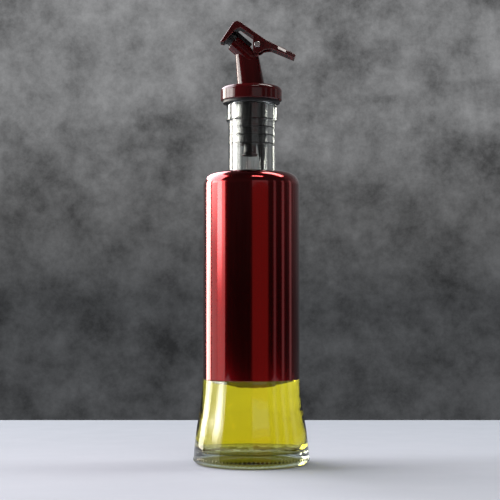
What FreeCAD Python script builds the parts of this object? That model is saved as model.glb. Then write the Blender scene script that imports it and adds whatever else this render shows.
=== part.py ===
"""Kitchen oil dispenser: a flared glass bottle in a lacquered metal sleeve, closed by a
pull-out stopper that carries a spring-loaded lever pourer.

Millimetres. +Z is up, the origin is the centre of the base on the table, and the spout
points along -X. Every size is a cell of the sheet, and the parts are bound to those cells.
"""
import FreeCAD, Part
import math
import os
import re

import Sketcher

SIZES = {
    "Cuts": {
        "cut_margin": 1.0,
    },
    "Bottle foot and flare": {
        "foot_radius": 31.0,
        "heel_radius": 3.5,
        "base_radius": 34.5,
        "push_up_radius": 27.5,
        "push_up_depth": 6.0,
        "push_up_arc": 53.0,
        "dome_flat": 3.0,
        "flare_waist_radius": 31.4,
        "flare_waist_z": 28.0,
        "flare_low_arc": 152.5,
        "flare_high_arc": 260.0,
        "flare_top_z": 49.3,
        "ledge_z": 50.3,
    },
    "Bottle body and neck": {
        "ledge_radius": 28.95,
        "body_radius": 27.6,
        "body_wall": 2.6,
        "shoulder_z": 157.0,
        "shoulder_arc": 11.0,
        "neck_arc": 2.6,
        "neck_radius": 14.0,
        "neck_bore": 9.9,
        "lip_radius": 15.05,
        "lip_z": 204.9,
        "lip_top_z": 215.5,
        "lip_round": 1.2,
        "mouth_round": 0.6,
    },
    "Bottle inside": {
        "floor_z": 7.5,
        "floor_radius": 27.7,
        "floor_corner": 3.2,
        "floor_crown": 3.5,
        "floor_dome_arc": 88.0,
        "inside_waist_radius": 28.7,
        "inside_top_radius": 26.1,
        "inside_flare_low_arc": 150.0,
        "inside_flare_high_arc": 260.0,
        "inside_body_z": 57.0,
        "inside_shoulder_z": 156.6,
        "inside_shoulder_arc": 8.4,
        "funnel_arc": 6.7,
    },
    "Oil": {
        "oil_gap": 0.1,
        "oil_level_z": 128.0,
    },
    "Sleeve": {
        "sleeve_radius": 28.9,
        "sleeve_wall": 0.7,
        "sleeve_top_z": 174.2,
        "sleeve_round": 8.0,
        "sleeve_hole": 15.5,
        "sleeve_hem": 0.25,
    },
    "Rubber stopper": {
        "plug_radius": 8.4,
        "plug_bottom_z": 190.9,
        "flange_bottom_z": 215.55,
        "flange_radius": 17.2,
        "flange_thickness": 1.75,
        "flange_bevel": 0.5,
        "fin_radius": 9.83,
        "fin_thickness": 0.8,
        "fin_low_z": 191.4,
        "fin_pitch": 4.9,
        "inlet_boss_radius": 3.7,
        "inlet_boss_bottom_z": 185.6,
        "vent_boss_top_radius": 2.4,
        "vent_boss_radius": 1.8,
        "vent_boss_bottom_z": 182.0,
        "vent_boss_root": 0.5,
        "tube_fit": 0.03,
    },
    "Pour tube and vent tube": {
        "pour_x": -0.8,
        "pour_bore": 2.3,
        "pour_tube_radius": 2.9,
        "pour_tube_bottom_z": 183.9,
        "pour_tube_top_z": 221.5,
        "barb_radius": 4.7,
        "barb_bevel": 0.7,
        "barb_bevel_top": 0.5,
        "barb_land_top": 1.1,
        "barb_step": 1.6,
        "vent_x": 6.5,
        "vent_bore": 0.7,
        "vent_tube_radius": 1.3,
        "vent_tube_bottom_z": 152.0,
        "vent_tube_top_z": 219.0,
        "vent_exit_z": 228.8,
        "vent_exit_radius": 0.8,
    },
    "Pourer body": {
        "cap_bottom_z": 217.3,
        "cap_top_z": 226.0,
        "cap_radius": 18.4,
        "cap_round": 3.0,
        "cap_low_round": 0.6,
        "column_bottom_left": 8.25,
        "column_bottom_right": 8.5,
        "column_bottom_half_depth": 6.4,
        "column_top_left": 9.65,
        "column_top_right": 4.27,
        "column_top_half_depth": 4.0,
        "column_top_z": 246.0,
        "elbow_z": 243.9,
        "nozzle_radius": 4.85,
        "nozzle_angle": 41.2,
        "nozzle_length": 13.3,
        "nozzle_round": 0.6,
        "hinge_boss_radius": 2.35,
        "hinge_boss_half_width": 4.0,
        "hinge_boss_tuck": 0.4,
        "spring_slot_half_width": 2.1,
    },
    "Lever": {
        "pin_x": 3.5,
        "pin_z": 250.8,
        "lever_half_width": 6.0,
        "ear_gap_half_width": 4.15,
        "peak_x": -9.4,
        "peak_z": 266.5,
        "peak_round": 3.6,
        "knee_x": 8.2,
        "knee_z": 254.0,
        "knee_round": 12.0,
        "tab_end_x": 26.7,
        "tab_end_z": 244.7,
        "tab_end_thickness": 2.1,
        "tab_root_x": 12.4,
        "tab_root_z": 248.1,
        "tab_root_arc": 12.0,
        "tab_end_slant": 0.9,
        "ear_gap_end_x": 11.9,
        "ear_gap_end_z": 248.7,
        "arm_thickness": 2.75,
        "hood_foot_x": -18.55,
        "hood_foot_z": 252.6,
        "hood_face_gap": 3.9,
        "hood_face_below": 3.95,
        "hood_face_above": 6.1,
        "window_left_x": -6.6,
        "ear_front_x": 1.0,
        "ear_front_z": 248.1,
        "ear_foot_x": 3.6,
        "ear_foot_z": 245.9,
        "ear_foot_arc": 2.7,
        "ear_heel_x": 7.4,
        "ear_heel_z": 247.5,
        "ear_arc": 4.4,
        "edge_round": 0.6,
        "pad_start": 9.2,
        "pad_length": 5.4,
        "pad_height": 0.45,
        "pad_root": 0.3,
        "pad_side_height": 0.27,
        "pad_end_slant": 0.3,
        "pad_shoulder": 1.7,
        "rib_pitch": 1.1,
        "rib_radius": 0.4,
    },
    "Lever seal": {
        "mouth_gap": 0.05,
        "seal_offset": 1.2,
        "seal_radius": 4.2,
        "seal_neck": 2.5,
        "seal_flange_radius": 4.9,
        "seal_stud_radius": 1.5,
        "seal_stud_length": 0.9,
        "seal_round": 0.4,
        "strap_root": 2.65,
        "strap_end": 9.0,
        "strap_lift": 3.9,
        "strap_thickness": 1.6,
        "strap_half_width": 2.2,
        "seal_fit": 0.02,
        "stud_fit": 0.05,
        "stud_hole_overlap": 0.5,
    },
    "Pivot pin and spring": {
        "pin_radius": 1.0,
        "pin_running_gap": 0.05,
        "pin_fixed_gap": 0.02,
        "pin_head_radius": 1.8,
        "pin_head_thickness": 0.7,
        "pin_head_round": 0.4,
        "pin_head_gap": 0.05,
        "pin_dimple_radius": 0.7,
        "pin_dimple_depth": 0.5,
        "spring_wire": 0.25,
        "spring_radius": 1.7,
        "spring_pitch": 0.62,
        "spring_turns": 5.361,
        "spring_start_angle": 190.0,
        "spring_tail": 6.0,
        "spring_foot": 2.0,
        "spring_slot_floor": 2.6,
        "spring_slot_front": 2.45,
    },
}

FUNCTIONS = ("sin", "cos", "tan", "sqrt")
NOZZLE_TILT = "nozzle_angle - 90"
UP = FreeCAD.Vector(0, 0, 1)
ACROSS = FreeCAD.Vector(0, 1, 0)
ALONG = FreeCAD.Vector(1, 0, 0)

document = FreeCAD.newDocument("oil_dispenser")
sheet = document.addObject("Spreadsheet::Sheet", "Sizes")


def fill_sheet():
    """One row a size, in groups: the name in column A and the number in column B."""
    row = 1
    for group, sizes in SIZES.items():
        sheet.set(f"A{row}", group)
        row += 1
        for alias, size in sizes.items():
            sheet.set(f"A{row}", alias)
            sheet.set(f"B{row}", str(size))
            sheet.setAlias(f"B{row}", alias)
            row += 1
    document.recompute()


def linked(expression):
    """The expression with each size name written as a reference to its cell."""
    words = "|".join(FUNCTIONS)
    return re.sub(rf"\b(?!(?:{words})\b)([a-z]\w*)", r"Sizes.\1", expression)


def value(expression):
    return float(sheet.evalExpression(linked(expression)))


def bind(thing, **expressions):
    """Bind properties of an object to expressions in the sheet's sizes."""
    for name, expression in expressions.items():
        thing.setExpression(name.replace("__", "."), linked(expression))


# --- sketches and features -----------------------------------------------------------------

def new_body(name):
    body = document.addObject("PartDesign::Body", name)
    body.Label = name
    return body


def origin_part(body, role):
    return next(part for part in body.Origin.OriginFeatures if part.Role == role)


def new_sketch(body, name, role="XZ_Plane", height=None):
    """A sketch on one of the body's own origin planes, raised by height if given."""
    sketch = body.newObject("Sketcher::SketchObject", name)
    sketch.AttachmentSupport = [(origin_part(body, role), "")]
    sketch.MapMode = "FlatFace"
    if height:
        bind(sketch, AttachmentOffset__Base__z=height)
    return sketch


def pin_datum(sketch, kind, target, name, expression):
    """Add one dimension to a sketch and bind it to an expression."""
    index = sketch.addConstraint(Sketcher.Constraint(kind, *target, value(expression)))
    sketch.renameConstraint(index, name)
    sketch.setExpression(f"Constraints.{name}", linked(expression))


def arc_between(start, end, radius):
    """The arc from start to end; a positive radius bends it to the left as it goes."""
    chord = end - start
    middle = (start + end) * 0.5
    size = abs(radius)
    rise = math.sqrt(max(size ** 2 - (chord.Length / 2) ** 2, 0.0))
    left = FreeCAD.Vector(-chord.y, chord.x, 0).normalize()
    centre = middle + left * math.copysign(rise, radius)
    first, last = (start, end) if radius > 0 else (end, start)
    angles = [math.atan2(point.y - centre.y, point.x - centre.x) for point in (first, last)]
    return Part.ArcOfCircle(Part.Circle(centre, UP, size), *angles)


def outline(sketch, *corners):
    """Close a loop through corners. A corner is (x, y) where a line reaches it, and
    (x, y, radius) where an arc does; a radius that starts with "-" bends to the right."""
    points = [FreeCAD.Vector(value(corner[0]), value(corner[1]), 0) for corner in corners]
    runs = []
    for index, corner in enumerate(corners):
        start, end = points[index - 1], points[index]
        if len(corner) == 2:
            geometry = sketch.addGeometry(Part.LineSegment(start, end), False)
            runs.append((geometry, 1, 2))
            continue
        bend = -1 if corner[2].startswith("-") else 1
        size = corner[2].lstrip("-")
        arc = arc_between(start, end, bend * value(size))
        geometry = sketch.addGeometry(arc, False)
        runs.append((geometry, 1, 2) if bend > 0 else (geometry, 2, 1))
        pin_datum(sketch, "Radius", (geometry,), f"bend{index}", size)
    for index, corner in enumerate(corners):
        geometry, _, end = runs[index]
        after, start, _ = runs[(index + 1) % len(runs)]
        sketch.addConstraint(Sketcher.Constraint("Coincident", geometry, end, after, start))
        pin_datum(sketch, "DistanceX", (geometry, end), f"across{index}", corner[0])
        pin_datum(sketch, "DistanceY", (geometry, end), f"along{index}", corner[1])


def circle(sketch, x, y, radius):
    """One circle, placed and sized by expressions."""
    centre = FreeCAD.Vector(value(x), value(y), 0)
    geometry = sketch.addGeometry(Part.Circle(centre, UP, value(radius)), False)
    pin_datum(sketch, "Radius", (geometry,), "radius", radius)
    pin_datum(sketch, "DistanceX", (geometry, 3), "across", x)
    pin_datum(sketch, "DistanceY", (geometry, 3), "along", y)


def feature(body, kind, name, profile=None, **expressions):
    thing = body.newObject(f"PartDesign::{kind}", name)
    if profile:
        thing.Profile = profile
    bind(thing, **expressions)
    body.Tip = thing
    return thing


def turned(body, name, *corners, kind="Revolution"):
    """A solid of revolution about the body's own Z axis."""
    sketch = new_sketch(body, f"{name}_profile")
    outline(sketch, *corners)
    solid = feature(body, kind, name, sketch)
    solid.ReferenceAxis = (sketch, ["V_Axis"])
    solid.Angle = 360
    return solid


def extruded(body, name, half_width, *corners, kind="Pad"):
    """A side outline given its width, half on each side of the XZ plane."""
    sketch = new_sketch(body, f"{name}_outline")
    outline(sketch, *corners)
    solid = feature(body, kind, name, sketch, Length=f"2 * ({half_width})")
    solid.SideType = "Symmetric"
    return solid


def rod(body, name, radius, length, at, tilt=None, axis=ACROSS, kind="AdditiveCylinder"):
    """A round bar from a point: upright, or tilted about an axis by an angle."""
    bar = body.newObject(f"PartDesign::{kind}", name)
    bar.AttachmentSupport = [(origin_part(body, "XY_Plane"), "")]
    bar.MapMode = "FlatFace"
    bind(bar, Radius=radius, Height=length)
    if tilt:
        bar.AttachmentOffset = FreeCAD.Placement(FreeCAD.Vector(), FreeCAD.Rotation(axis, 1))
        bind(bar, AttachmentOffset__Rotation__Angle=tilt)
    for letter, place in zip("xyz", at):
        bind(bar, **{f"AttachmentOffset__Base__{letter}": place})
    body.Tip = bar
    return bar


def rounded(body, name, radius, chosen):
    """Round the edges of the body's tip that a test picks out."""
    document.recompute()
    base = body.Tip
    names = [f"Edge{i + 1}" for i, edge in enumerate(base.Shape.Edges) if chosen(edge)]
    if not names:
        raise RuntimeError(f"{name}: no edge to round")
    fillet = body.newObject("PartDesign::Fillet", name)
    fillet.Base = (base, names)
    bind(fillet, Radius=radius)
    body.Tip = fillet
    return fillet


def circle_centre(edge):
    """The centre of a circular edge, or None for any other edge."""
    if edge.Degenerated or not isinstance(edge.Curve, Part.Circle):
        return None
    return edge.Curve.Center


def runs_across(edge, x, z, reach=0.3):
    """Whether an edge runs straight along Y and passes near (x, z)."""
    first, last = edge.Vertexes[0].Point, edge.Vertexes[-1].Point
    straight = math.hypot(first.x - last.x, first.z - last.z) < 1e-6
    return straight and math.hypot(first.x - x, first.z - z) < reach


# --- bottle, oil and sleeve ----------------------------------------------------------------

def glass_bottle():
    body = new_body("glass_bottle")
    turned(
        body, "glass",
        ("0", "push_up_depth"),
        ("dome_flat", "push_up_depth"),
        ("push_up_radius", "0", "-push_up_arc"),
        ("foot_radius", "0"),
        ("base_radius", "heel_radius", "heel_radius"),
        ("flare_waist_radius", "flare_waist_z", "flare_low_arc"),
        ("ledge_radius", "flare_top_z", "-flare_high_arc"),
        ("ledge_radius", "ledge_z"),
        ("body_radius", "ledge_z"),
        ("body_radius", "shoulder_z"),
        ("body_radius - shoulder_arc", "shoulder_z + shoulder_arc", "shoulder_arc"),
        ("neck_radius", "shoulder_z + shoulder_arc + neck_arc", "-neck_arc"),
        ("neck_radius", "lip_z"),
        ("lip_radius - mouth_round", "lip_z"),
        ("lip_radius", "lip_z + mouth_round", "mouth_round"),
        ("lip_radius", "lip_top_z - lip_round"),
        ("lip_radius - lip_round", "lip_top_z", "lip_round"),
        ("neck_bore + mouth_round", "lip_top_z"),
        ("neck_bore", "lip_top_z - mouth_round", "mouth_round"),
        *cavity("0", "neck_bore"),
        ("0", "floor_z + floor_crown"),
    )
    return body


def cavity(gap, neck):
    """The inside wall from the neck down to the floor, moved inwards by a gap."""
    shoulder = "inside_shoulder_z + inside_shoulder_arc"
    body = "body_radius - body_wall"
    return (
        (neck, f"{shoulder} + funnel_arc"),
        (f"{body} - inside_shoulder_arc", shoulder, "funnel_arc"),
        (body, "inside_shoulder_z", "-inside_shoulder_arc"),
    ) + lower_cavity(gap)


def lower_cavity(gap):
    """The inside wall below the shoulder, going down, moved inwards by a gap."""
    body = f"body_radius - body_wall - {gap}"
    return (
        (body, "inside_body_z"),
        (f"inside_top_radius - {gap}", "flare_top_z"),
        (f"inside_waist_radius - {gap}", "flare_waist_z", "inside_flare_high_arc"),
        (f"floor_radius + floor_corner - {gap}", "floor_z + floor_corner",
         "-inside_flare_low_arc"),
        ("floor_radius", f"floor_z + {gap}", f"-floor_corner + {gap}"),
        ("dome_flat", f"floor_z + floor_crown + {gap}", "floor_dome_arc"),
    )


def olive_oil():
    """The filling, as a closed solid with a flat top."""
    body = new_body("olive_oil")
    turned(
        body, "oil",
        ("body_radius - body_wall - oil_gap", "oil_level_z"),
        *lower_cavity("oil_gap"),
        ("0", "floor_z + floor_crown + oil_gap"),
        ("0", "oil_level_z"),
    )
    return body


def metal_sleeve():
    body = new_body("metal_sleeve")
    inner = "sleeve_radius - sleeve_wall"
    inner_round = "sleeve_round - sleeve_wall"
    turned(
        body, "sleeve",
        ("sleeve_radius - sleeve_hem", "ledge_z"),
        ("sleeve_radius", "ledge_z + sleeve_hem", "sleeve_hem"),
        ("sleeve_radius", "sleeve_top_z - sleeve_round"),
        ("sleeve_radius - sleeve_round", "sleeve_top_z", "sleeve_round"),
        ("sleeve_hole", "sleeve_top_z"),
        ("sleeve_hole", "sleeve_top_z - sleeve_wall"),
        ("sleeve_radius - sleeve_round", "sleeve_top_z - sleeve_wall"),
        (inner, "sleeve_top_z - sleeve_round", f"-{inner_round}"),
        (inner, "ledge_z"),
    )
    return body


# --- stopper and tubes ---------------------------------------------------------------------

def rubber_stopper():
    body = new_body("rubber_stopper")
    top = "flange_bottom_z + flange_thickness"
    turned(
        body, "plug",
        ("0", "plug_bottom_z"),
        ("plug_radius", "plug_bottom_z"),
        ("plug_radius", "flange_bottom_z"),
        ("flange_radius - flange_bevel", "flange_bottom_z"),
        ("flange_radius", "flange_bottom_z + flange_bevel", "flange_bevel"),
        ("flange_radius", top),
        ("0", top),
    )
    for number in range(4):
        low = f"fin_low_z + {number} * fin_pitch - fin_thickness / 2"
        turned(
            body, f"fin_{number}",
            ("0", low),
            ("fin_radius - fin_thickness / 2", low),
            ("fin_radius", f"{low} + fin_thickness / 2", "fin_thickness / 2"),
            ("fin_radius - fin_thickness / 2", f"{low} + fin_thickness", "fin_thickness / 2"),
            ("0", f"{low} + fin_thickness"),
        )
    rod(body, "inlet_boss", "inlet_boss_radius", "plug_bottom_z - inlet_boss_bottom_z + cut_margin",
        ("pour_x", "0", "inlet_boss_bottom_z"))
    vent_boss(body)
    rod(body, "inlet_hole", "pour_tube_radius + tube_fit",
        f"{top} - inlet_boss_bottom_z + 2 * cut_margin",
        ("pour_x", "0", "inlet_boss_bottom_z - cut_margin"), kind="SubtractiveCylinder")
    rod(body, "vent_hole", "vent_tube_radius + tube_fit",
        f"{top} - vent_boss_bottom_z + 2 * cut_margin",
        ("vent_x", "0", "vent_boss_bottom_z - cut_margin"), kind="SubtractiveCylinder")
    return body


def vent_boss(body):
    """The boss that grips the vent tube tapers from the plug down to a thin collar."""
    narrow = new_sketch(body, "vent_boss_end", "XY_Plane", "vent_boss_bottom_z")
    circle(narrow, "vent_x", "0", "vent_boss_radius")
    wide = new_sketch(body, "vent_boss_root", "XY_Plane", "plug_bottom_z + vent_boss_root")
    circle(wide, "vent_x - vent_boss_top_radius + vent_boss_radius", "0", "vent_boss_top_radius")
    loft = feature(body, "AdditiveLoft", "vent_boss", narrow)
    loft.Sections = [(wide, [""])]


def pour_tube():
    """Its axis is its own Z axis; the barb at its foot keeps the rubber on."""
    body = new_body("pour_tube")
    turned(
        body, "tube",
        ("pour_bore", "0"),
        ("barb_radius - barb_bevel", "0"),
        ("barb_radius", "barb_bevel_top"),
        ("barb_radius", "barb_land_top"),
        ("pour_tube_radius", "barb_step"),
        ("pour_tube_radius", "pour_tube_top_z - pour_tube_bottom_z"),
        ("pour_bore", "pour_tube_top_z - pour_tube_bottom_z"),
    )
    bind(body, Placement__Base__x="pour_x", Placement__Base__z="pour_tube_bottom_z")
    return body


def vent_tube():
    """Its axis is its own Z axis."""
    body = new_body("vent_tube")
    turned(
        body, "tube",
        ("vent_bore", "0"),
        ("vent_tube_radius", "0"),
        ("vent_tube_radius", "vent_tube_top_z - vent_tube_bottom_z"),
        ("vent_bore", "vent_tube_top_z - vent_tube_bottom_z"),
    )
    bind(body, Placement__Base__x="vent_x", Placement__Base__z="vent_tube_bottom_z")
    return body


# --- pourer body ---------------------------------------------------------------------------

def column(body):
    """The leaning column between the cap and the nozzle, with round front and back."""
    low = new_sketch(body, "column_foot", "XY_Plane", "cap_top_z - cut_margin")
    rounded_section(low, "column_bottom_left", "column_bottom_right", "column_bottom_half_depth")
    high = new_sketch(body, "column_head", "XY_Plane", "column_top_z")
    rounded_section(high, "column_top_left", "column_top_right", "column_top_half_depth")
    loft = feature(body, "AdditiveLoft", "column", low)
    loft.Sections = [(high, [""])]
    loft.Ruled = True


def rounded_section(sketch, left, right, half_depth):
    """A section of the column: flat sides, and a half circle at each end."""
    outline(
        sketch,
        (f"{half_depth} - {left}", f"-{half_depth}", half_depth),
        (f"{right} - {half_depth}", f"-{half_depth}"),
        (right, "0", half_depth),
        (f"{right} - {half_depth}", half_depth, half_depth),
        (f"{half_depth} - {left}", half_depth),
        (f"-{left}", "0", half_depth),
    )


def pourer_body():
    """Cap, column, nozzle and hinge boss in one moulding, with a flow and a vent channel."""
    body = new_body("pourer_body")
    turned(
        body, "cap",
        ("0", "cap_bottom_z"),
        ("cap_radius - cap_low_round", "cap_bottom_z"),
        ("cap_radius", "cap_bottom_z + cap_low_round", "cap_low_round"),
        ("cap_radius", "cap_top_z - cap_round"),
        ("cap_radius - cap_round", "cap_top_z", "cap_round"),
        ("0", "cap_top_z"),
    )
    column(body)
    elbow = ("pour_x", "0", "elbow_z")
    ball = body.newObject("PartDesign::AdditiveSphere", "elbow")
    ball.AttachmentSupport = [(origin_part(body, "XY_Plane"), "")]
    ball.MapMode = "FlatFace"
    bind(ball, Radius="nozzle_radius", AttachmentOffset__Base__x="pour_x",
         AttachmentOffset__Base__z="elbow_z")
    body.Tip = ball
    rod(body, "nozzle", "nozzle_radius", "nozzle_length", elbow, NOZZLE_TILT)
    rounded(body, "nozzle_lip", "nozzle_round", is_mouth)
    hinge_boss(body)
    flow_channel(body, elbow)
    vent_channel(body)
    return body


def is_mouth(edge):
    """Whether an edge is the outer circle at the nozzle's mouth."""
    centre = circle_centre(edge)
    if centre is None or abs(edge.Curve.Radius - value("nozzle_radius")) > 1e-4:
        return False
    angle = math.radians(value("nozzle_angle"))
    reach = value("nozzle_length")
    mouth = FreeCAD.Vector(value("pour_x") - reach * math.cos(angle), 0,
                           value("elbow_z") + reach * math.sin(angle))
    return (centre - mouth).Length < 1e-3


def hinge_boss(body):
    """Two cheeks that rise behind the nozzle and hold the pin, with the spring between."""
    left = "pin_x - hinge_boss_radius"
    right = "pin_x + hinge_boss_radius"
    corners = (
        (left, "elbow_z"),
        ("column_top_right - hinge_boss_tuck", "elbow_z"),
        (right, "pin_z"),
        ("pin_x", "pin_z + hinge_boss_radius", "hinge_boss_radius"),
        (left, "pin_z", "hinge_boss_radius"),
    )
    extruded(body, "hinge_boss", "hinge_boss_half_width", *corners)
    extruded(
        body, "spring_slot", "spring_slot_half_width",
        ("pin_x - spring_slot_front", "pin_z - spring_slot_floor"),
        ("pin_x + 2 * hinge_boss_radius", "pin_z - spring_slot_floor"),
        ("pin_x + 2 * hinge_boss_radius", "pin_z + 2 * hinge_boss_radius"),
        ("pin_x - spring_slot_front", "pin_z + 2 * hinge_boss_radius"),
        kind="Pocket",
    )
    rod(body, "pin_bore", "pin_radius + pin_fixed_gap", "2 * (hinge_boss_half_width + cut_margin)",
        ("pin_x", "hinge_boss_half_width + cut_margin", "pin_z"), "90", ALONG,
        kind="SubtractiveCylinder")


def flow_channel(body, elbow):
    """The socket for the pour tube, then up to the elbow and out of the nozzle."""
    rod(body, "tube_socket", "pour_tube_radius + tube_fit",
        "pour_tube_top_z - cap_bottom_z + cut_margin",
        ("pour_x", "0", "cap_bottom_z - cut_margin"), kind="SubtractiveCylinder")
    rod(body, "riser", "pour_bore", "elbow_z - cap_bottom_z",
        ("pour_x", "0", "cap_bottom_z"), kind="SubtractiveCylinder")
    rod(body, "mouth", "pour_bore", "nozzle_length + cut_margin", elbow, NOZZLE_TILT,
        kind="SubtractiveCylinder")


def vent_channel(body):
    """Air comes in at the side of the column and goes down into the vent tube."""
    rod(body, "vent_socket", "vent_tube_radius + tube_fit",
        "vent_tube_top_z - cap_bottom_z + cut_margin",
        ("vent_x", "0", "cap_bottom_z - cut_margin"), kind="SubtractiveCylinder")
    rod(body, "vent_riser", "vent_bore", "vent_exit_z - cap_bottom_z",
        ("vent_x", "0", "cap_bottom_z"), kind="SubtractiveCylinder")
    rod(body, "vent_exit", "vent_exit_radius",
        "column_bottom_half_depth + vent_exit_radius + 2 * cut_margin",
        ("vent_x", "-vent_exit_radius", "vent_exit_z"), "-90", ALONG,
        kind="SubtractiveCylinder")


# --- lever, seal, pin and spring -----------------------------------------------------------

def along_nozzle(distance, side):
    """A point (x, z) in the side view: so far along the nozzle's axis and to its upper side."""
    x = f"(pour_x - cos(nozzle_angle) * ({distance}) + sin(nozzle_angle) * ({side}))"
    z = f"(elbow_z + sin(nozzle_angle) * ({distance}) + cos(nozzle_angle) * ({side}))"
    return x, z


def under_arm(x):
    """Height of the arm's underside at x: its top line, from peak to knee, less its depth."""
    rise = "(peak_z - knee_z) / (knee_x - peak_x)"
    depth = f"arm_thickness * sqrt(1 + ({rise}) * ({rise}))"
    return f"peak_z - {rise} * ({x} - peak_x) - {depth}"


def flip_lever():
    """Hood, arm, ears and thumb tab. At rest the hood presses its seal on the mouth."""
    body = new_body("flip_lever")
    face = "nozzle_length + hood_face_gap"
    extruded(
        body, "side", "lever_half_width",
        ("hood_foot_x", "hood_foot_z"),
        along_nozzle(face, "-hood_face_below"),
        along_nozzle(face, "hood_face_above"),
        ("window_left_x", under_arm("window_left_x")),
        ("ear_front_x", under_arm("ear_front_x")),
        ("ear_front_x", "ear_front_z"),
        ("ear_foot_x", "ear_foot_z", "ear_foot_arc"),
        ("ear_heel_x", "ear_heel_z", "ear_arc"),
        ("tab_root_x", "tab_root_z", "-tab_root_arc"),
        ("tab_end_x - tab_end_slant", "tab_end_z - tab_end_thickness"),
        ("tab_end_x", "tab_end_z"),
        ("knee_x", "knee_z"),
        ("peak_x", "peak_z"),
    )
    extruded(
        body, "ear_gap", "ear_gap_half_width",
        ("ear_front_x - cut_margin", "ear_foot_z - cut_margin"),
        ("ear_gap_end_x", "ear_foot_z - cut_margin"),
        ("ear_gap_end_x", "ear_gap_end_z"),
        ("knee_x", under_arm("knee_x")),
        ("ear_front_x - cut_margin", under_arm("(ear_front_x - cut_margin)")),
        kind="Pocket",
    )
    rod(body, "pin_hole", "pin_radius + pin_running_gap", "2 * (lever_half_width + cut_margin)",
        ("pin_x", "lever_half_width + cut_margin", "pin_z"), "90", ALONG,
        kind="SubtractiveCylinder")
    stud_x, stud_z = along_nozzle(f"{face} - stud_hole_overlap", "seal_offset")
    rod(body, "stud_hole", "seal_stud_radius + stud_fit",
        "seal_stud_length + stud_hole_overlap + 2 * stud_fit",
        (stud_x, "0", stud_z), NOZZLE_TILT, kind="SubtractiveCylinder")
    rounded(body, "peak_bend", "peak_round",
            lambda edge: runs_across(edge, value("peak_x"), value("peak_z")))
    rounded(body, "knee_bend", "knee_round",
            lambda edge: runs_across(edge, value("knee_x"), value("knee_z")))
    rounded(body, "crest", "edge_round", is_crest)
    thumb_grip(body)
    return body


def is_crest(edge, reach=1.3):
    """Whether an edge runs along the lever's outer line, from the hood's foot to the tab."""
    line = [FreeCAD.Vector(value(f"{name}_x"), 0, value(f"{name}_z"))
            for name in ("hood_foot", "peak", "knee", "tab_end")]
    if edge.Degenerated:
        return False
    first, last = edge.ParameterRange
    points = [edge.valueAt(first), edge.valueAt((first + last) / 2), edge.valueAt(last)]
    if any(abs(abs(point.y) - value("lever_half_width")) > 1e-4 for point in points):
        return False
    flat = [Part.Vertex(point.x, 0, point.z) for point in points]
    crest = Part.makePolygon(line)
    return all(crest.distToShape(spot)[0] < reach for spot in flat)


def across_tab(body, name, start, length, *corners, kind="Pad"):
    """A section square to the tab, drawn as (depth, y) and run along the tab from start."""
    x, z, tilt = start
    sketch = new_sketch(body, f"{name}_section", "XY_Plane")
    sketch.AttachmentOffset = FreeCAD.Placement(FreeCAD.Vector(), FreeCAD.Rotation(ACROSS, 1))
    bind(sketch, AttachmentOffset__Rotation__Angle=f"90 - ({tilt})",
         AttachmentOffset__Base__x=x, AttachmentOffset__Base__z=z)
    outline(sketch, *corners)
    solid = feature(body, kind, name, sketch, Length=length)
    solid.Reversed = kind == "Pocket"
    return solid


def thumb_grip(body):
    """A raised thumb pad on the tab, with a sloping shoulder at each side, and ribs."""
    slope = (value("tab_end_z") - value("knee_z")) / (value("tab_end_x") - value("knee_x"))
    tilt = math.atan(slope)
    tab = FreeCAD.Vector(math.cos(tilt), 0, math.sin(tilt))
    normal = FreeCAD.Vector(-math.sin(tilt), 0, math.cos(tilt))
    knee = FreeCAD.Vector(value("knee_x"), 0, value("knee_z"))
    start, length = value("pad_start"), value("pad_length")

    def at(distance, lift):
        point = knee + tab * distance + normal * lift
        return str(point.x), str(point.z)

    foot = (*at(start, 0), str(math.degrees(tilt)))
    for side in ("", "-"):
        across_tab(
            body, f"shoulder_{side and 'back'}", foot, "pad_length",
            ("-cut_margin", f"{side}(lever_half_width - pad_shoulder - cut_margin)"),
            ("pad_shoulder + cut_margin", f"{side}(lever_half_width + cut_margin)"),
            ("-cut_margin", f"{side}(lever_half_width + cut_margin)"),
            kind="Pocket",
        )
    extruded(
        body, "thumb_pad", "lever_half_width - pad_shoulder - pad_root",
        at(start, -value("pad_root")),
        at(start + length, -value("pad_root")),
        at(start + length, value("pad_side_height")),
        at(start + length - value("pad_end_slant"), value("pad_height")),
        at(start + value("pad_end_slant"), value("pad_height")),
        at(start, value("pad_side_height")),
    )
    for number in range(3):
        x, z = at(start + length + value("rib_pitch") * (number + 1), 0)
        rod(body, f"rib_{number}", "rib_radius", "2 * (lever_half_width - cut_margin)",
            (x, "lever_half_width - cut_margin", z), "90", ALONG)


def tilt_to_nozzle(body, distance, side):
    """Turn a body so that its Z axis is parallel to the nozzle's."""
    body.Placement = FreeCAD.Placement(FreeCAD.Vector(), FreeCAD.Rotation(ACROSS, 1))
    x, z = along_nozzle(distance, side)
    bind(body, Placement__Rotation__Angle=NOZZLE_TILT, Placement__Base__x=x,
         Placement__Base__z=z)


def lever_seal():
    """A rubber pad whose stud sits in the hood and whose flat face closes the mouth, with a
    strap that lies over the nozzle."""
    body = new_body("lever_seal")
    top = "hood_face_gap - mouth_gap - seal_fit"
    turned(
        body, "pad",
        ("0", "0"),
        ("seal_radius - seal_round", "0"),
        ("seal_radius", "seal_round", "seal_round"),
        ("seal_radius", "seal_neck"),
        ("seal_flange_radius", "seal_neck + seal_round"),
        ("seal_flange_radius", top),
        ("seal_stud_radius", top),
        ("seal_stud_radius", f"{top} + seal_stud_length"),
        ("0", f"{top} + seal_stud_length"),
    )
    extruded(
        body, "strap", "strap_half_width",
        ("strap_lift", "strap_root"),
        ("strap_lift", "-strap_end"),
        ("strap_lift + strap_thickness", "-strap_end"),
        ("strap_lift + strap_thickness", "strap_root"),
    )
    tilt_to_nozzle(body, "nozzle_length + mouth_gap", "seal_offset")
    return body


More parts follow.
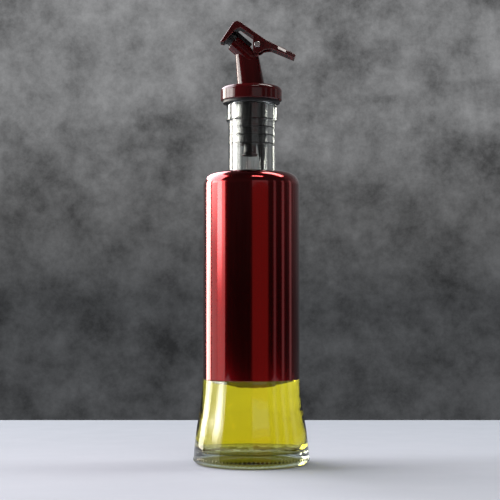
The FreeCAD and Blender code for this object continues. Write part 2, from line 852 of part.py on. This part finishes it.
def pivot_pin():
    """A tubular rivet along Y, fixed in the hinge boss, with the lever's ears on it."""
    body = new_body("pivot_pin")
    half = "lever_half_width + pin_head_gap"
    end = f"{half} + pin_head_thickness"
    turned(
        body, "rivet",
        ("0", f"-({end} - pin_dimple_depth)"),
        ("pin_dimple_radius", f"-({end} - pin_dimple_depth)"),
        ("pin_dimple_radius", f"-({end})"),
        ("pin_head_radius - pin_head_round", f"-({end})"),
        ("pin_head_radius", f"-({end} - pin_head_round)", "pin_head_round"),
        ("pin_head_radius", f"-({half})"),
        ("pin_radius", f"-({half})"),
        ("pin_radius", half),
        ("pin_head_radius", half),
        ("pin_head_radius", f"{end} - pin_head_round"),
        ("pin_head_radius - pin_head_round", end, "pin_head_round"),
        ("pin_dimple_radius", end),
        ("pin_dimple_radius", f"{end} - pin_dimple_depth"),
        ("0", f"{end} - pin_dimple_depth"),
    )
    place_on_pin(body)
    return body


def place_on_pin(body, lead=0.0, turn=0.0):
    """Turn a body so that its Z axis lies along Y through the pin's centre."""
    lay_down = FreeCAD.Rotation(ALONG, -90)
    spin = FreeCAD.Rotation(UP, -turn)
    body.Placement = FreeCAD.Placement(FreeCAD.Vector(0, lead, 0), lay_down.multiply(spin))
    bind(body, Placement__Base__x="pin_x", Placement__Base__z="pin_z")


def torsion_spring():
    """Coils round the pin. One tail lifts the tab, and the other stands in the slot."""
    body = new_body("torsion_spring")
    section = new_sketch(body, "wire")
    circle(section, "spring_radius", "0", "spring_wire")
    coil = body.newObject("PartDesign::AdditiveHelix", "coil")
    coil.Profile = section
    coil.ReferenceAxis = (section, ["V_Axis"])
    coil.Mode = "pitch-turns-angle"
    bind(coil, Pitch="spring_pitch", Turns="spring_turns")
    body.Tip = coil
    rod(body, "foot", "spring_wire", "spring_foot",
        ("spring_radius", "0", "0"), "90", ALONG)
    angle = 2 * math.pi * value("spring_turns")
    outward = FreeCAD.Vector(math.cos(angle), math.sin(angle), 0)
    end = outward * value("spring_radius")
    rise = value("spring_pitch * spring_turns")
    rod(body, "tail", "spring_wire", "spring_tail",
        (str(end.x), str(end.y), "spring_pitch * spring_turns"), "-90", outward)
    place_on_pin(body, -rise / 2, value("spring_start_angle"))
    return body


# --- check and write -----------------------------------------------------------------------

PARTS = (
    glass_bottle,
    metal_sleeve,
    olive_oil,
    rubber_stopper,
    pour_tube,
    vent_tube,
    pourer_body,
    flip_lever,
    lever_seal,
    pivot_pin,
    torsion_spring,
)


def check(bodies):
    """Stop if anything failed to build, or a part is not one or more sound solids."""
    failed = [thing.Name for thing in document.Objects
              if {"Invalid", "Error"} & set(thing.State)]
    if failed:
        raise RuntimeError(f"failed objects: {failed}")
    for body in bodies:
        shape = body.Shape
        if shape.isNull() or not shape.isValid() or not shape.Solids:
            raise RuntimeError(f"{body.Label}: bad shape")


def main():
    fill_sheet()
    bodies = [make() for make in PARTS]
    document.recompute()
    check(bodies)
    os.makedirs("parts", exist_ok=True)
    for body in bodies:
        body.Shape.exportStep(f"parts/{body.Label}.step")
        box = body.Shape.BoundBox
        print(f"{body.Label:16s} {len(body.Shape.Solids)} solid  {body.Shape.Volume:10.1f} mm3"
              f"  x {box.XMin:6.2f}..{box.XMax:6.2f}  z {box.ZMin:6.2f}..{box.ZMax:6.2f}")


main()
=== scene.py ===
import math

import bmesh
import bpy
from mathutils import Matrix, Vector


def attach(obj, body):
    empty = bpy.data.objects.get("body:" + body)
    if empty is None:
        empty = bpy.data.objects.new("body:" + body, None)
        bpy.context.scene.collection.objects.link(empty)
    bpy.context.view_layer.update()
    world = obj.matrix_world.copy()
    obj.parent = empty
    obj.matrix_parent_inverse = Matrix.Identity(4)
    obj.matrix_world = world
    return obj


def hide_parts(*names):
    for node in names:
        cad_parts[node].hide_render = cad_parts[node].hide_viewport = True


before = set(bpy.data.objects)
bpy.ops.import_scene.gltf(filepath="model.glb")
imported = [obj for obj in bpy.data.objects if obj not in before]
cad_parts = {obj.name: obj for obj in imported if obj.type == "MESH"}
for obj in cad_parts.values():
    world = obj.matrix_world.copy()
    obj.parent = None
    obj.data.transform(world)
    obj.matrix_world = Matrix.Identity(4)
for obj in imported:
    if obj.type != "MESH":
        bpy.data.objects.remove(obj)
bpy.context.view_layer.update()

# Sizes are millimetres, as in the CAD part, and MM turns them into metres. The origin is the
# centre of the base on the table, +Z is up and the spout points along -X.
MM = 0.001
FULL_TURN = 2 * math.pi
BEND_STEP = math.radians(4)      # how finely a tight arc of a turned profile is cut
CHORD = 1.2                      # how finely a wide one is, in mm
CREASE = math.radians(32)        # an edge sharper than this shows as an edge
SAME_POINT = 1e-7                # points nearer than this, in metres, become one

BODY_TOP_Z = 50.3                # the ledge that the sleeve stands on
PIN = Vector((3.5, 0, 250.8))    # the lever's pivot

STIPPLE_MARKS = 84               # the knurl round the foot of the glass
STIPPLE_STEPS = 6
STIPPLE_HEIGHT = 0.3
STIPPLE_Z = (1.5, 4.2)


# --- meshes ---------------------------------------------------------------------------------

def arc_points(start, end, bend):
    """Points after start along the arc to end; a positive bend turns to the left."""
    chord = end - start
    size = abs(bend)
    rise = math.sqrt(max(size ** 2 - (chord.length / 2) ** 2, 0.0))
    left = Vector((-chord.y, chord.x)).normalized()
    centre = (start + end) / 2 + left * math.copysign(rise, bend)
    first = start - centre
    sweep = math.copysign(2 * math.asin(min(chord.length / 2 / size, 1.0)), bend)
    steps = max(2, math.ceil(abs(sweep) / BEND_STEP), math.ceil(chord.length / CHORD))
    turned = (Matrix.Rotation(sweep * step / steps, 2) @ first for step in range(1, steps + 1))
    return [centre + point for point in turned]


def profile(*corners):
    """A polyline through corners (r, z), or (r, z, bend) where an arc arrives."""
    points = [Vector(corners[0][:2])]
    for corner in corners[1:]:
        end = Vector(corner[:2])
        points += arc_points(points[-1], end, corner[2]) if len(corner) == 3 else [end]
    return points


def as_object(name, mesh):
    """Finish a new mesh: normals outward, smooth but for creases, linked to the scene."""
    build = bmesh.new()
    build.from_mesh(mesh)
    bmesh.ops.remove_doubles(build, verts=build.verts, dist=SAME_POINT)
    bmesh.ops.recalc_face_normals(build, faces=build.faces)
    build.to_mesh(mesh)
    build.free()
    mesh.shade_smooth()
    mesh.set_sharp_from_angle(angle=CREASE)
    thing = bpy.data.objects.new(name, mesh)
    bpy.context.scene.collection.objects.link(thing)
    return thing


def lathe(name, points, segments=256, relief=None):
    """A solid turned about Z. Its profile runs from the axis to the axis, or is a loop.
    relief(r, z, angle) is how far a point of it stands out."""
    loop = points[0].x > 0
    vertices, rings = [], []
    for point in points:
        if point.x <= 0:
            rings.append([len(vertices)] * segments)
            vertices.append((0, 0, point.y * MM))
            continue
        rings.append(range(len(vertices), len(vertices) + segments))
        for number in range(segments):
            angle = FULL_TURN * number / segments
            reach = point.x + (relief(point.x, point.y, angle) if relief else 0.0)
            vertices.append((reach * math.cos(angle) * MM, reach * math.sin(angle) * MM,
                             point.y * MM))
    faces = []
    following = rings[1:] + rings[:1] if loop else rings[1:]
    for low, high in zip(rings, following):
        for number in range(segments):
            after = (number + 1) % segments
            corners = (low[number], low[after], high[after], high[number])
            faces.append(tuple(dict.fromkeys(corners)))
    mesh = bpy.data.meshes.new(name)
    mesh.from_pydata(vertices, [], faces)
    return as_object(name, mesh)


def wire(name, points, radius):
    """A round wire through points, in millimetres, with rounded ends."""
    curve = bpy.data.curves.new(name, "CURVE")
    curve.dimensions = "3D"
    curve.bevel_depth = radius * MM
    curve.bevel_resolution = 4
    curve.use_fill_caps = True
    spline = curve.splines.new("POLY")
    spline.points.add(len(points) - 1)
    for spot, point in zip(spline.points, points):
        spot.co = (*(Vector(point) * MM), 1)
    holder = bpy.data.objects.new(name, curve)
    mesh = bpy.data.meshes.new_from_object(holder)
    bpy.data.objects.remove(holder)
    return as_object(name, mesh)


# --- the glass, the oil and the sleeve ------------------------------------------------------

GLASS_OUTSIDE = (
    (0, 6), (3, 6), (27.5, 0, -53), (31, 0), (34.5, 3.5, 3.5),
    (31.4, 28, 152.5), (28.95, 49.3, -260), (28.95, BODY_TOP_Z), (27.6, BODY_TOP_Z), (27.6, 157),
    (16.6, 168, 11), (14, 170.6, -2.6), (14, 204.9), (14.45, 204.9), (15.05, 205.5, 0.6),
    (15.05, 214.3), (13.85, 215.5, 1.2), (10.5, 215.5), (9.9, 214.9, 0.6),
)
FUNNEL = ((9.9, 171.7), (16.6, 165, 6.7), (25, 156.6, -8.4))
HEEL_RADIUS = 31                 # the knurl lies outside this
OIL_LEVEL = 128
OIL_PRESS = 0.12                 # how far the oil reaches into the glass
MENISCUS = 1.6


def inside_wall(press):
    """The inside wall of the flare, going down; press moves it out into the glass."""
    return (
        (25 + press, 57), (26.1 + press, 49.3), (28.7 + press, 28, 260),
        (30.9 + press, 10.7, -150), (27.7, 7.5 - press, -3.2 - press),
        (3, 11 - press, 88), (0, 11 - press),
    )


def stipple(radius, z, angle):
    """The knurl that keeps the foot from sliding: short upright marks round the heel."""
    low, high = STIPPLE_Z
    if radius < HEEL_RADIUS or not low < z < high:
        return 0.0
    across = 0.5 - 0.5 * math.cos(angle * STIPPLE_MARKS)
    along = math.sin(math.pi * (z - low) / (high - low))
    return STIPPLE_HEIGHT * across ** 2 * along


def bottle_glass():
    points = profile(*GLASS_OUTSIDE, *FUNNEL, *inside_wall(0.0))
    return lathe("bottle_glass", points, STIPPLE_MARKS * STIPPLE_STEPS, stipple)


def oil_filling():
    """The oil wets the wall, so it reaches a hair into the glass, and it has a meniscus."""
    surface = ((0, OIL_LEVEL), (20, OIL_LEVEL), (23.2, OIL_LEVEL),
               (25 + OIL_PRESS, OIL_LEVEL + MENISCUS, 2.4))
    return lathe("oil_filling", profile(*surface, *inside_wall(OIL_PRESS)))


def sleeve_shell():
    """A thin drawn shell with a rounded shoulder and a hole for the neck."""
    low, top = BODY_TOP_Z, 174.2
    radius, hole, bend = 28.9, 15.5, 8.0
    wall, hem = 0.7, 0.25
    inner = radius - wall
    return lathe("sleeve_shell", profile(
        (radius - hem, low), (radius, low + hem, hem), (radius, top - bend),
        (radius - bend, top, bend), (hole + hem, top), (hole, top - hem, hem),
        (hole, top - wall), (radius - bend, top - wall), (inner, top - bend, wall - bend),
        (inner, low)))


# --- the stopper ----------------------------------------------------------------------------

FINS = 4
FIN_SEGMENTS = 192


def stopper_fins():
    """Four soft fins round the plug; their lips press into the bore and close it."""
    core, plug, lip = 7.6, 8.46, 9.97
    half, root, bevel, slope = 0.3, 0.55, 0.25, 0.08
    low, high = 190.95, 208.2
    first, step = 191.6, 4.9
    edge = [(core, low), (plug, low)]
    for number in range(FINS):
        middle = first + step * number
        edge += [(plug, middle - root), (lip - bevel, middle - half - slope),
                 (lip, middle - half), (lip, middle + half),
                 (lip - bevel, middle + half + slope), (plug, middle + root)]
    edge += [(plug, high), (core, high)]
    return lathe("stopper_fins", profile(*edge), FIN_SEGMENTS)


# --- the torsion spring ---------------------------------------------------------------------

SPRING_WIRE = 0.25
SPRING_RADIUS = 1.7
SPRING_PITCH = 0.62
SPRING_TURNS = 5.361
SPRING_START = math.radians(190)
SPRING_STEPS = 36                # points to a turn
LOWER_LEG = 2.0
UPPER_LEG = 6.0
TAIL_TURN = 0.14                 # how much of the coil goes with the upper leg
TAIL_SLACK = 0.98                # its wire is this much thinner, to lie inside the coil's


def on_coil(turns):
    """A point of the coil round the pin, at so many turns from its foot."""
    angle = SPRING_START + FULL_TURN * turns
    side = SPRING_PITCH * (turns - SPRING_TURNS / 2)
    return PIN + Vector((SPRING_RADIUS * math.cos(angle), side, SPRING_RADIUS * math.sin(angle)))


def coil_run(first, last):
    """Points along the coil from one number of turns to another."""
    steps = max(2, math.ceil((last - first) * SPRING_STEPS))
    return [on_coil(first + (last - first) * step / steps) for step in range(steps + 1)]


def leg(turns, length):
    """The end of a straight leg that leaves the coil there; a negative length goes back."""
    angle = SPRING_START + FULL_TURN * turns
    return on_coil(turns) + Vector((-math.sin(angle), 0, math.cos(angle))) * length


def spring_coil():
    """The coil with the lower leg, which stands in the pourer's slot."""
    points = [leg(0, -LOWER_LEG), *coil_run(0, SPRING_TURNS)]
    return wire("spring_coil", points, SPRING_WIRE)


def spring_tail():
    """The upper leg with the last part of the coil, which turns with the lever."""
    points = [*coil_run(SPRING_TURNS - TAIL_TURN, SPRING_TURNS), leg(SPRING_TURNS, UPPER_LEG)]
    return wire("spring_tail", points, SPRING_WIRE * TAIL_SLACK)


# --- materials ------------------------------------------------------------------------------

class Recipe:
    """A node material with one Principled shader, and short calls that wire it up."""

    def __init__(self, name, **sockets):
        self.material = bpy.data.materials.new(name)
        self.material.use_nodes = True
        self.tree = self.material.node_tree
        self.shader = self.tree.nodes["Principled BSDF"]
        self.place = self.add("ShaderNodeTexCoord").outputs["Object"]
        for label, value in sockets.items():
            self.shader.inputs[label.replace("_", " ")].default_value = value

    def add(self, kind, inputs=(), **settings):
        node = self.tree.nodes.new(kind)
        for label, value in settings.items():
            setattr(node, label, value)
        for label, value in dict(inputs).items():
            if isinstance(value, bpy.types.NodeSocket):
                self.tree.links.new(value, node.inputs[label])
            else:
                node.inputs[label].default_value = value
        return node

    def stretched(self, x, y, z):
        """The place on the object, scaled for a pattern that runs along an axis."""
        node = self.add("ShaderNodeMapping", {"Vector": self.place, "Scale": (x, y, z)})
        return node.outputs["Vector"]

    def noise(self, scale, detail=4.0, place=None, roughness=0.5):
        """Fractal noise; the scale is in cycles to the metre."""
        inputs = {"Vector": place or self.place, "Scale": scale, "Detail": detail,
                  "Roughness": roughness}
        return self.add("ShaderNodeTexNoise", inputs).outputs["Fac"]

    def cells(self, scale):
        inputs = {"Vector": self.place, "Scale": scale}
        return self.add("ShaderNodeTexVoronoi", inputs).outputs["Distance"]

    def span(self, source, low, high, start=0.0, end=1.0):
        """A value that goes from low to high as the source goes from start to end."""
        inputs = {"Value": source, "From Min": start, "From Max": end, "To Min": low,
                  "To Max": high}
        return self.add("ShaderNodeMapRange", inputs).outputs["Result"]

    def blend(self, factor, first, second):
        """From one colour to another; the first may be a node's colour. A Mix node's
        sockets 0, 6 and 7 are its factor and its two colours."""
        start = first if isinstance(first, bpy.types.NodeSocket) else (*first, 1)
        inputs = {0: factor, 6: start, 7: (*second, 1)}
        return self.add("ShaderNodeMix", inputs, data_type="RGBA").outputs[2]

    def math(self, operation, first, second):
        inputs = {0: first, 1: second}
        return self.add("ShaderNodeMath", inputs, operation=operation).outputs[0]

    def edges(self, reach=0.0006):
        """Where the surface turns within reach, for wear and a painted edge highlight."""
        turned = self.add("ShaderNodeBevel", {"Radius": reach}, samples=8).outputs["Normal"]
        flat = self.add("ShaderNodeNewGeometry").outputs["Normal"]
        same = self.add("ShaderNodeVectorMath", {0: turned, 1: flat}, operation="DOT_PRODUCT")
        return self.span(same.outputs["Value"], 1.0, 0.0, 0.8, 0.995)

    def bump(self, *layers):
        """Relief in layers of (height, depth in metres)."""
        normal = None
        for height, depth in layers:
            inputs = {"Height": height, "Strength": 1.0, "Distance": depth}
            if normal:
                inputs["Normal"] = normal
            normal = self.add("ShaderNodeBump", inputs).outputs["Normal"]
        self.wire("Normal", normal)

    def wire(self, label, source):
        self.tree.links.new(source, self.shader.inputs[label])

    def absorb(self, colour, density):
        node = self.add("ShaderNodeVolumeAbsorption",
                        {"Color": (*colour, 1), "Density": density})
        output = self.tree.nodes["Material Output"]
        self.tree.links.new(node.outputs[0], output.inputs["Volume"])


def clear_glass():
    """Pressed soda glass: a faint green in its depth and a slow waviness."""
    recipe = Recipe("clear_glass", IOR=1.5, Transmission_Weight=1.0)
    haze = recipe.noise(90, 5)
    recipe.wire("Base Color", recipe.blend(haze, (0.965, 0.985, 0.97), (0.995, 1.0, 0.995)))
    recipe.wire("Roughness", recipe.span(recipe.noise(260, 6), 0.0, 0.035, 0.52, 0.8))
    recipe.bump((recipe.noise(45, 2), 0.00018), (recipe.noise(160, 2), 0.00003))
    recipe.absorb((0.55, 0.9, 0.65), 7.0)
    return recipe.material


def olive_oil():
    """Clear oil whose yellow comes from the depth that light goes through."""
    recipe = Recipe("oil", IOR=1.47, Transmission_Weight=1.0, Roughness=0.0)
    cloud = recipe.noise(60, 3)
    recipe.wire("Base Color", recipe.blend(cloud, (1.0, 0.99, 0.93), (1.0, 1.0, 0.98)))
    recipe.absorb((0.993, 0.949, 0.05), 80.0)
    return recipe.material


def red_lacquer():
    """Translucent red lacquer on drawn metal: fine upright grain under a clear coat."""
    recipe = Recipe("red_lacquer", Metallic=1.0, Coat_Weight=1.0, Coat_Roughness=0.04,
                    Coat_IOR=1.5)
    grain = recipe.noise(1.0, 6, recipe.stretched(1500, 1500, 9), 0.6)
    flake = recipe.cells(2600)
    cloud = recipe.noise(38, 4)
    tone = recipe.math("ADD", recipe.math("MULTIPLY", grain, 0.6),
                       recipe.math("MULTIPLY", cloud, 0.4))
    recipe.wire("Base Color", recipe.blend(tone, (0.20, 0.0015, 0.003), (0.33, 0.004, 0.006)))
    rough = recipe.math("ADD", recipe.span(grain, 0.09, 0.18),
                        recipe.span(cloud, -0.02, 0.03))
    recipe.wire("Roughness", rough)
    recipe.bump((grain, 0.000004), (flake, 0.000003))
    return recipe.material


def red_plastic():
    """Glossy dark red moulding, with faint flow marks, and edges lightened pink: partly rubbed
    wear, partly a painted highlight.
    """
    recipe = Recipe("red_plastic", IOR=1.5)
    cloud = recipe.noise(120, 5)
    # the pink edge colour is partly rubbed wear and partly a painted highlight along the edges
    edge_wear_and_highlight = recipe.math("MULTIPLY", recipe.edges(), recipe.noise(500, 4))
    body = recipe.blend(cloud, (0.055, 0.0022, 0.0028), (0.082, 0.0036, 0.0044))
    # painted highlight: the body colour turns pale pink along the edges
    recipe.wire("Base Color", recipe.blend(edge_wear_and_highlight, body, (0.60, 0.24, 0.24)))
    rough = recipe.math("ADD", recipe.span(recipe.noise(240, 6), 0.07, 0.15, 0.3, 0.7),
                        recipe.span(edge_wear_and_highlight, 0.0, 0.15))
    recipe.wire("Roughness", rough)
    recipe.bump((recipe.noise(70, 2), 0.00005), (recipe.noise(900, 2), 0.000003))
    return recipe.material


def black_rubber():
    """Matt soft rubber with a fine skin and a little dust."""
    recipe = Recipe("black_rubber", Specular_IOR_Level=0.45)
    dust = recipe.noise(320, 6, roughness=0.65)
    recipe.wire("Base Color", recipe.blend(dust, (0.006, 0.006, 0.007), (0.016, 0.016, 0.017)))
    recipe.wire("Roughness", recipe.span(recipe.noise(180, 5), 0.34, 0.55, 0.3, 0.7))
    recipe.bump((recipe.noise(2200, 3), 0.00002), (recipe.noise(240, 3), 0.00003))
    return recipe.material


def black_plastic():
    """Satin moulded tube, a little greyer than the rubber."""
    recipe = Recipe("black_plastic", IOR=1.46)
    cloud = recipe.noise(200, 5)
    recipe.wire("Base Color", recipe.blend(cloud, (0.010, 0.010, 0.011), (0.022, 0.022, 0.023)))
    recipe.wire("Roughness", recipe.span(recipe.noise(500, 5), 0.22, 0.4, 0.3, 0.7))
    recipe.bump((recipe.noise(1500, 4), 0.00001),)
    return recipe.material


def steel():
    """Bright drawn steel, with drawing lines across the object."""
    recipe = Recipe("steel", Metallic=1.0)
    grain = recipe.noise(1.0, 5, recipe.stretched(9000, 300, 9000))
    stain = recipe.noise(700, 4)
    recipe.wire("Base Color", recipe.blend(stain, (0.62, 0.61, 0.60), (0.80, 0.80, 0.79)))
    recipe.wire("Roughness", recipe.span(grain, 0.16, 0.34, 0.3, 0.7))
    recipe.bump((grain, 0.000006),)
    return recipe.material


def pale_table():
    """Painted board, a cold white, with a faint cloudiness, and painted shade that darkens it to
    the back.
    """
    recipe = Recipe("pale_table", Specular_IOR_Level=0.2)
    cloud = recipe.noise(9, 6, recipe.stretched(0.6, 1.3, 1))
    depth = recipe.add("ShaderNodeSeparateXYZ", {0: recipe.place}).outputs["Y"]
    near = recipe.blend(cloud, (0.42, 0.455, 0.505), (0.53, 0.57, 0.625))
    # painted shade: the base colour darkens towards the back of the table
    back = recipe.span(depth, 0.0, 1.0, -0.15, 0.3)
    recipe.wire("Base Color", recipe.blend(back, near, (0.38, 0.425, 0.47)))
    recipe.wire("Roughness", recipe.span(recipe.noise(40, 5), 0.65, 0.85, 0.3, 0.7))
    recipe.bump((recipe.noise(120, 6), 0.0001),)
    return recipe.material


# --- the stage ------------------------------------------------------------------------------

TABLE_LOW = Vector((-600, -420, -20))
TABLE_HIGH = Vector((600, 324, 0))
TABLE_ROUND = 3
LIGHT_DISTANCE = 2200


def table():
    """A table top whose back edge shows behind the bottle."""
    build = bmesh.new()
    size, middle = TABLE_HIGH - TABLE_LOW, (TABLE_HIGH + TABLE_LOW) / 2
    place = Matrix.Translation(middle * MM) @ Matrix.Diagonal((*(size * MM), 1))
    bmesh.ops.create_cube(build, size=1, matrix=place)
    bmesh.ops.bevel(build, geom=build.edges, offset=TABLE_ROUND * MM, segments=4, affect="EDGES")
    mesh = bpy.data.meshes.new("table_top")
    build.to_mesh(mesh)
    build.free()
    top = as_object("table_top", mesh)
    top.data.materials.append(pale_table())


def ramp(tree, source, low, high, start, end, kind="LINEAR"):
    """A value that goes from low to high as the source goes from start to end."""
    node = tree.nodes.new("ShaderNodeMapRange")
    node.interpolation_type = kind
    for label, size in (("From Min", start), ("From Max", end), ("To Min", low),
                        ("To Max", high)):
        node.inputs[label].default_value = size
    tree.links.new(source, node.inputs["Value"])
    return node.outputs["Result"]


def glowing(name, corners, glow, colour, run=(0.0, 1.0)):
    """A flat glowing panel, unseen by the camera, and a sky panel also by rays that leave
    glass. Its glow goes from the first value to the second over a run of its own height."""
    mesh = bpy.data.meshes.new(name)
    mesh.from_pydata([[size * MM for size in corner] for corner in corners], [], [(0, 1, 2, 3)])
    panel = bpy.data.objects.new(name, mesh)
    bpy.context.scene.collection.objects.link(panel)
    panel.visible_camera = False
    panel.visible_transmission = not name.startswith("sky")
    material = bpy.data.materials.new(name)
    material.use_nodes = True
    tree = material.node_tree
    tree.nodes.clear()
    place = tree.nodes.new("ShaderNodeTexCoord")
    split = tree.nodes.new("ShaderNodeSeparateXYZ")
    tree.links.new(place.outputs["Object"], split.inputs[0])
    bottom, top = (height * MM for height in run)
    strength = ramp(tree, split.outputs["Z"], *glow, bottom, top, "SMOOTHSTEP")
    light = tree.nodes.new("ShaderNodeEmission")
    light.inputs["Color"].default_value = (*colour, 1)
    output = tree.nodes.new("ShaderNodeOutputMaterial")
    tree.links.new(strength, light.inputs["Strength"])
    tree.links.new(light.outputs[0], output.inputs["Surface"])
    mesh.materials.append(material)
    return panel


def strip(name, bearings, heights, glow, colour, run=(90, 350)):
    """An upright panel that faces the bottle, between two bearings from the camera's side;
    a positive bearing is to the left."""
    first, last = (math.radians(bearing) for bearing in bearings)
    half = LIGHT_DISTANCE * math.tan((last - first) / 2)
    low, high = heights
    corners = [(-half, 0, low), (half, 0, low), (half, 0, high), (-half, 0, high)]
    panel = glowing(name, corners, glow, colour, run)
    turn = (first + last) / 2
    panel.location = Vector((-math.sin(turn), -math.cos(turn), 0)) * LIGHT_DISTANCE * MM
    panel.rotation_euler.z = -turn


DAYLIGHT = (1.0, 0.97, 0.93)
ROOM_LIGHT = (0.95, 0.98, 1.0)
WINDOW = (-240, 890)
SKY = (890, 3000)
# name, bearings, heights, glow at the foot and at the top, colour, and the run between them
STRIPS = (
    ("window_far", (113, 133), WINDOW, (7, 13), (1.0, 0.93, 0.84)),
    ("window_frame", (89, 108), WINDOW, (1.0, 10), DAYLIGHT, (200, 620)),
    ("window_middle", (74, 88), WINDOW, (1.2, 10), DAYLIGHT),
    ("window_near", (65, 74), WINDOW, (1.2, 3.4), DAYLIGHT),
    ("sky_left", (80, 120), SKY, (7.0, 7.0), (1.0, 0.94, 0.98)),
    ("sky_back", (120, 160), SKY, (7.0, 7.0), (1.0, 0.93, 1.0)),
    ("fill_front", (-40, -2), (-240, 430), (0.3, 0.3), (1.0, 0.26, 0.22)),
    ("fill_front_top", (-40, -2), (430, 890), (0.4, 0.4), ROOM_LIGHT),
    ("fill_near", (-60, -54), WINDOW, (0.3, 0.35), ROOM_LIGHT),
    ("fill_mid", (-84, -77), WINDOW, (0.35, 0.45), ROOM_LIGHT),
    ("fill_far", (-110, -102), WINDOW, (0.35, 0.5), ROOM_LIGHT),
)
SKYLIGHT_Z = 1500
# name, left and right, front and back, glow
SKYLIGHTS = (
    ("skylight", (300, 1500), (60, 480), 8),
    ("skylight_front", (40, 640), (-1000, -800), 9),
)

ROOM_FLOOR = (0.055, 0.057, 0.060, 1)
ROOM_CEILING = (0.10, 0.10, 0.105, 1)
ROOM_GREYS = ((0.06, 0.095), (0.13, 0.165), (0.24, 0.20), (0.6, 0.14))     # height, level


def room():
    """A dark, mottled room: lightest at the height of the backdrop, and darker in front of
    the bottle than behind it."""
    world = bpy.data.worlds.new("room")
    bpy.context.scene.world = world
    world.use_nodes = True
    tree = world.node_tree
    background = tree.nodes["Background"]
    place = tree.nodes.new("ShaderNodeTexCoord").outputs["Generated"]
    split = tree.nodes.new("ShaderNodeSeparateXYZ")
    tree.links.new(place, split.inputs[0])
    rise = tree.nodes.new("ShaderNodeValToRGB")
    tree.links.new(split.outputs["Z"], rise.inputs["Fac"])
    stops = rise.color_ramp.elements
    stops[0].position, stops[0].color = 0.0, ROOM_FLOOR
    stops[1].position, stops[1].color = 1.0, ROOM_CEILING
    for height, level in ROOM_GREYS:
        stop = stops.new(height)
        stop.color = (level, level * 1.01, level * 1.03, 1)
    mottle = tree.nodes.new("ShaderNodeTexNoise")
    for label, size in (("Scale", 22), ("Detail", 10), ("Roughness", 0.74)):
        mottle.inputs[label].default_value = size
    tree.links.new(place, mottle.inputs["Vector"])
    strength = tree.nodes.new("ShaderNodeMath")
    strength.operation = "MULTIPLY"
    patches = ramp(tree, mottle.outputs["Fac"], 0.45, 1.6, 0.34, 0.66)
    behind = ramp(tree, split.outputs["Y"], 0.3, 1.0, -0.1, 0.5)
    tree.links.new(patches, strength.inputs[0])
    tree.links.new(behind, strength.inputs[1])
    tree.links.new(rise.outputs["Color"], background.inputs["Color"])
    tree.links.new(strength.outputs[0], background.inputs["Strength"])


CAMERA_SPOT = Vector((-0.8, -859, 95))
CAMERA_AIM = Vector((-0.8, 0, 127.6))
CAMERA_LENS = 103.1


def camera():
    """Long lens, a little under half the bottle's height and tilted slightly up."""
    lens = bpy.data.cameras.new("camera")
    lens.sensor_width = 36
    lens.lens = CAMERA_LENS
    holder = bpy.data.objects.new("camera", lens)
    bpy.context.scene.collection.objects.link(holder)
    holder.location = CAMERA_SPOT * MM
    holder.rotation_euler = (CAMERA_AIM - CAMERA_SPOT).to_track_quat("-Z", "Y").to_euler()
    bpy.context.scene.camera = holder


# --- assembly -------------------------------------------------------------------------------

FINISHES = {
    "clear_glass": clear_glass, "oil": olive_oil, "red_lacquer": red_lacquer,
    "red_plastic": red_plastic, "black_rubber": black_rubber, "black_plastic": black_plastic,
    "steel": steel,
}
PIECES = (
    (bottle_glass, "bottle", "clear_glass", "glass_bottle"),
    (oil_filling, "bottle", "oil", "olive_oil"),
    (sleeve_shell, "bottle", "red_lacquer", "metal_sleeve"),
    (stopper_fins, "pourer", "black_rubber", None),
    (spring_coil, "pourer", "steel", "torsion_spring"),
    (spring_tail, "lever", "steel", None),
)
KEPT = {
    "rubber_stopper": "black_rubber", "pour_tube": "black_plastic",
    "vent_tube": "black_plastic", "pourer_body": "red_plastic", "flip_lever": "red_plastic",
    "lever_seal": "black_rubber", "pivot_pin": "steel",
}


def main():
    bpy.context.scene.view_settings.view_transform = "Standard"
    finish = {slot: make() for slot, make in FINISHES.items()}
    for make, body, slot, node in PIECES:
        piece = make()
        piece.data.materials.append(finish[slot])
        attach(piece, body)
        if node:
            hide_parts(node)
    for node, slot in KEPT.items():
        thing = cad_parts[node]
        for holder in thing.material_slots:
            holder.material = finish[slot]
    table()
    for sizes in STRIPS:
        strip(*sizes)
    for name, (left, right), (front, back), glow in SKYLIGHTS:
        corners = ((left, front), (right, front), (right, back), (left, back))
        glowing(name, [(x, y, SKYLIGHT_Z) for x, y in corners], (glow, glow), DAYLIGHT)
    room()
    camera()


main()
